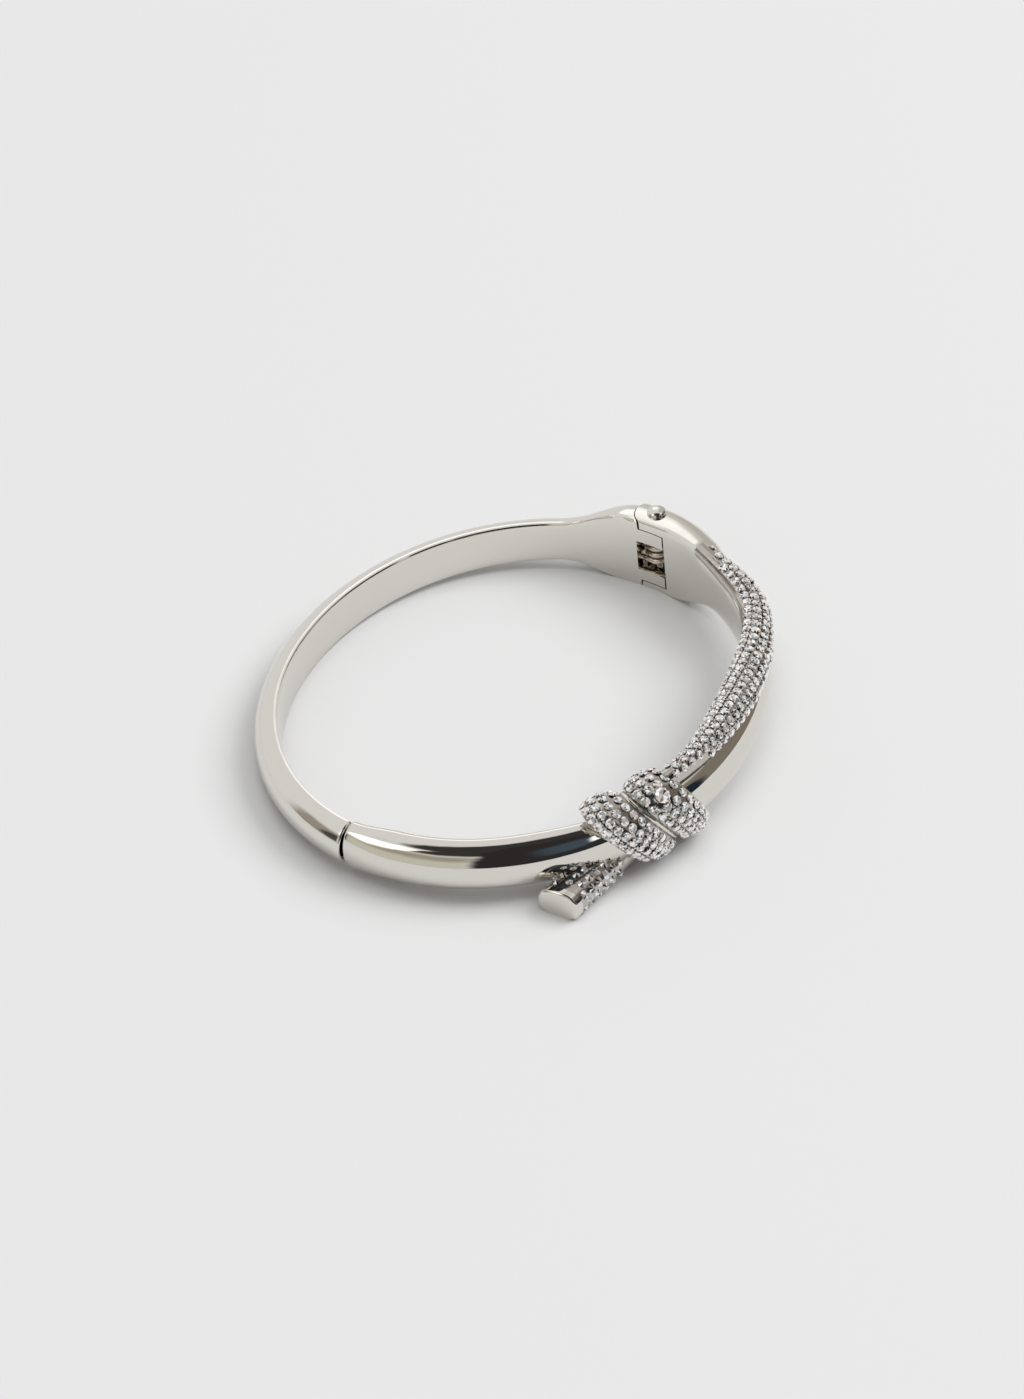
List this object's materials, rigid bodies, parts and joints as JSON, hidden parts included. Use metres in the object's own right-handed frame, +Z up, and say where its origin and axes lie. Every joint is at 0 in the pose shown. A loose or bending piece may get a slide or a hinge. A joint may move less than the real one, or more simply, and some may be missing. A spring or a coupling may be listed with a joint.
{
  "type": "bangle bracelet",
  "caption": "Oval hinged bangle: a polished tube tied with a stone-set strand in a knot, opening sideways on a sprung hinge with a plain seam opposite.",
  "frame": {"origin": "centre of the oval wrist opening, at mid-height of the rear band", "axes": "+X to the hinge, -X to the opening seam, +Y to the plain rear band, -Y to the knot, +Z up on the side of the hinge pin's head"},
  "size_m": [0.0656, 0.0596, 0.0111],
  "materials": {
    "polished_metal": "mirror-polished rhodium plating over cast metal",
    "spring_wire": "drawn spring wire",
    "crystal": "clear faceted crystal, foil-backed"
  },
  "bodies": {
    "front": {"front_band": "polished_metal", "hinge_pin": "polished_metal", "hinge_spring": "spring_wire", "pave_strand": "polished_metal", "right_wrap": "polished_metal", "left_wrap": "polished_metal", "knot_saddle": "polished_metal", "tail_strand": "polished_metal", "tail_cap": "polished_metal", "accent_stone": "crystal", "strand_stones_row_1": "crystal", "strand_stones_row_2": "crystal", "strand_stones_row_3": "crystal", "strand_stones_row_4": "crystal", "strand_stones_row_5": "crystal", "right_wrap_stones_row_1": "crystal", "right_wrap_stones_row_2": "crystal", "right_wrap_stones_row_3": "crystal", "right_wrap_stones_row_4": "crystal", "left_wrap_stones_row_1": "crystal", "left_wrap_stones_row_2": "crystal", "left_wrap_stones_row_3": "crystal", "left_wrap_stones_row_4": "crystal", "tail_stones_row_1": "crystal", "tail_stones_row_2": "crystal", "tail_stones_row_3": "crystal", "tail_stones_row_4": "crystal", "tail_stones_row_5": "crystal", "tail_stones_row_6": "crystal", "tail_stones_row_7": "crystal"},
    "rear": {"rear_half": "polished_metal"}
  },
  "joints": [
    {"name": "hinge_open", "type": "hinge", "parent": "front", "child": "rear", "pos_m": [0.0313, 0.002, 0], "axis": [0, 0, -1], "range_deg": [0, 60], "stiffness_Nm_per_rad": 0.01, "springref_deg": -57.3, "deforming": ["hinge_spring"]}
  ]
}
